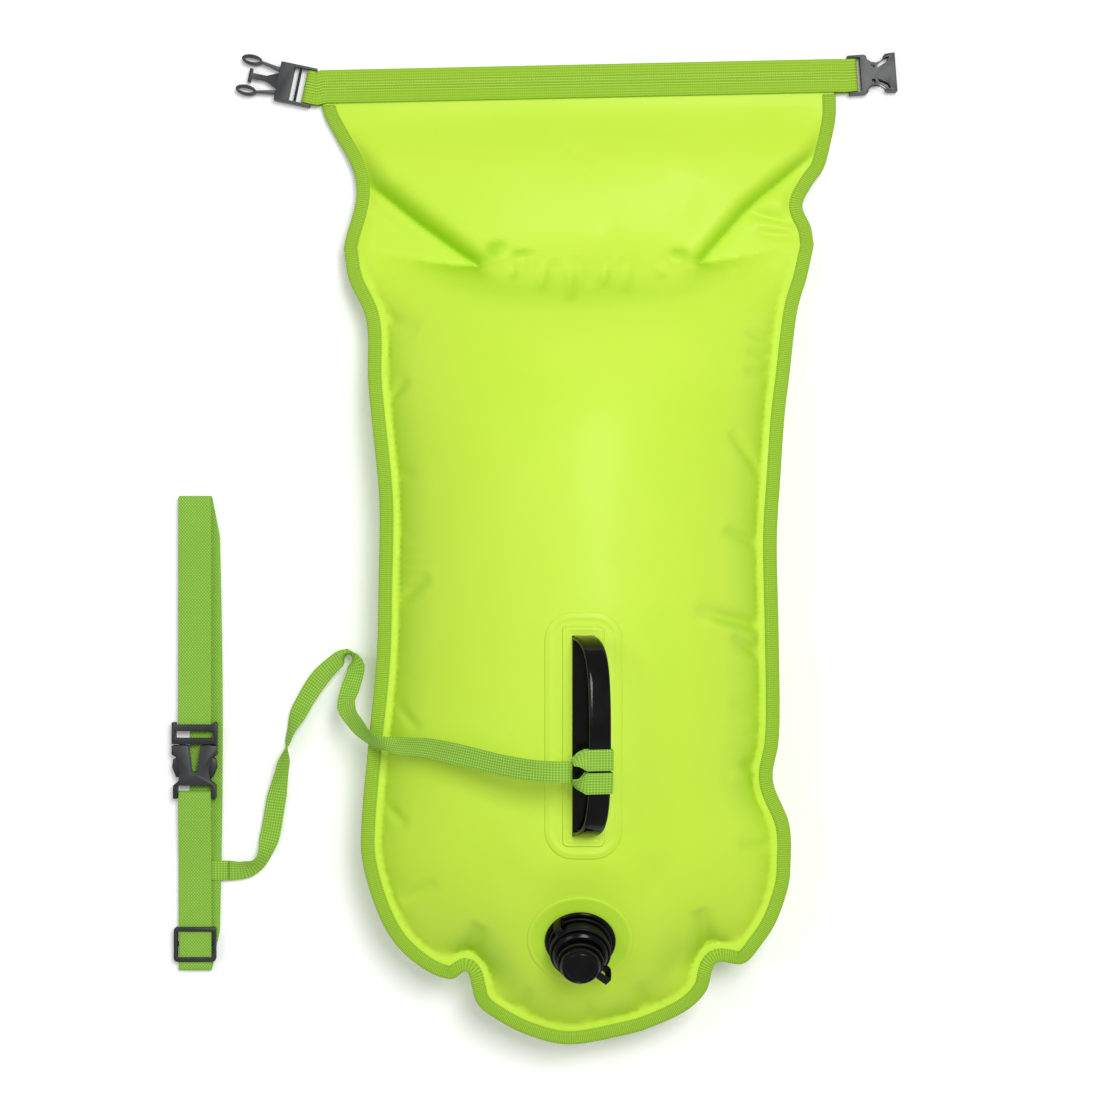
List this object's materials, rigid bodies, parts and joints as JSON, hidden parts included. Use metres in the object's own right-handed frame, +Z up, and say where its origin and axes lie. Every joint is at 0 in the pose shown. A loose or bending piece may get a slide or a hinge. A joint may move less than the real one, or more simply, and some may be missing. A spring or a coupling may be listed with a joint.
{
  "type": "swim buoy",
  "caption": "Inflatable swim buoy with a roll-top dry compartment, side-release closure, carry handle, screw valve, towing leash and waist belt.",
  "frame": {"origin": "middle of the flat patch under the back skin, where the buoy lies on the ground", "axes": "+Y from the valve end to the roll-top mouth, +Z up out of the front with the handle and valve, +X to the right seen from above"},
  "size_m": [0.5498, 0.7425, 0.1895],
  "materials": {
    "coated_skin": "smooth fluorescent lime polyurethane coating, satin",
    "liner_skin": "thin lime film, satin",
    "edge_webbing": "olive lime woven tape, matt",
    "leash_webbing": "green woven webbing, matt",
    "belt_webbing": "green woven webbing with a lighter fleck, matt",
    "buckle_plastic": "black moulded acetal, semi-matt",
    "handle_strap": "glossy black strap",
    "valve_plastic": "glossy black moulded plastic",
    "soft_rubber": "black soft rubber",
    "stiffener_strip": "natural flexible strip, hidden in the mouth"
  },
  "bodies": {
    "bag": {"front_skin": "coated_skin", "chamber_liner": "liner_skin", "back_skin": "coated_skin", "edge_tape": "edge_webbing", "handle_patch": "coated_skin", "handle_cover": "coated_skin", "handle_base_strap": "handle_strap", "leash": "leash_webbing", "leash_belt_loop": "leash_webbing", "valve_patch": "coated_skin", "valve_base": "valve_plastic", "valve_seal": "soft_rubber", "body_tether": "soft_rubber", "cap_tether": "soft_rubber", "waist_belt": "belt_webbing", "belt_frame": "buckle_plastic", "belt_clasp": "buckle_plastic"},
    "mouth": {"mouth_hem_front": "coated_skin", "mouth_hem_back": "coated_skin", "mouth_stiffener": "stiffener_strip", "mouth_band_front": "edge_webbing", "mouth_band_back": "edge_webbing"},
    "plug": {"closure_plug": "buckle_plastic"},
    "plug_arm_upper": {"closure_arm_upper": "buckle_plastic"},
    "plug_arm_lower": {"closure_arm_lower": "buckle_plastic"},
    "socket": {"closure_socket": "buckle_plastic"},
    "handle": {"handle_grip": "handle_strap", "leash_wrap_front": "leash_webbing", "leash_wrap_rear": "leash_webbing"},
    "valve_screw_body": {"valve_body": "valve_plastic", "valve_flap": "soft_rubber"},
    "valve_screw_cap": {"valve_cap": "valve_plastic"},
    "belt_latch_left": {"belt_arm_left": "buckle_plastic"},
    "belt_latch_right": {"belt_arm_right": "buckle_plastic"},
    "adjuster": {"belt_adjuster": "buckle_plastic"}
  },
  "joints": [
    {"name": "mouth_fold", "type": "hinge", "parent": "bag", "child": "mouth", "pos_m": [0, 0.409, 0.0085], "axis": [0.9998, 0.022, 0], "range_deg": [0, 150]},
    {"name": "plug_swivel", "type": "hinge", "parent": "mouth", "child": "plug", "pos_m": [-0.20126, 0.41858, 0.0048], "axis": [0.2035, 0.9791, 0], "range_deg": [-70, 70]},
    {"name": "plug_arm_upper_flex", "type": "hinge", "parent": "plug", "child": "plug_arm_upper", "pos_m": [-0.22375, 0.43224, 0.0048], "axis": [0, 0, 1], "range_deg": [0, 5], "stiffness_Nm_per_rad": 0.5},
    {"name": "plug_arm_lower_flex", "type": "hinge", "parent": "plug", "child": "plug_arm_lower", "pos_m": [-0.22733, 0.41501, 0.0048], "axis": [0, 0, 1], "range_deg": [-5, 0], "stiffness_Nm_per_rad": 0.5},
    {"name": "socket_swivel", "type": "hinge", "parent": "mouth", "child": "socket", "pos_m": [0.21064, 0.42764, 0.0048], "axis": [0.0743, -0.9972, 0], "range_deg": [-70, 70]},
    {"name": "handle_tilt", "type": "hinge", "parent": "bag", "child": "handle", "pos_m": [0.013, -0.064, 0.14572], "axis": [0, 1, 0], "range_deg": [0, 50], "stiffness_Nm_per_rad": 0.1},
    {"name": "valve_body_turn", "type": "hinge", "parent": "bag", "child": "valve_screw_body", "pos_m": [0.003, -0.213, 0.11092], "axis": [-0.0072, -0.478, 0.8784], "range_deg": [0, 450]},
    {"name": "valve_cap_turn", "type": "hinge", "parent": "valve_screw_body", "child": "valve_screw_cap", "pos_m": [0.003, -0.213, 0.11092], "axis": [-0.0072, -0.478, 0.8784], "range_deg": [0, 540]},
    {"name": "belt_arm_left_flex", "type": "hinge", "parent": "bag", "child": "belt_latch_left", "pos_m": [-0.29789, -0.07985, 0.0079], "axis": [0, 0, 1], "range_deg": [0, 6], "stiffness_Nm_per_rad": 0.5},
    {"name": "belt_arm_right_flex", "type": "hinge", "parent": "bag", "child": "belt_latch_right", "pos_m": [-0.27811, -0.07985, 0.0079], "axis": [0, 0, 1], "range_deg": [-6, 0], "stiffness_Nm_per_rad": 0.5},
    {"name": "adjuster_slide", "type": "slide", "parent": "bag", "child": "adjuster", "axis": [0, 1, 0], "range_m": [0, 0.022]}
  ],
  "couplings": [
    {"joint": "plug_arm_lower_flex", "follows": "plug_arm_upper_flex", "ratio": -1},
    {"joint": "belt_arm_right_flex", "follows": "belt_arm_left_flex", "ratio": -1}
  ]
}
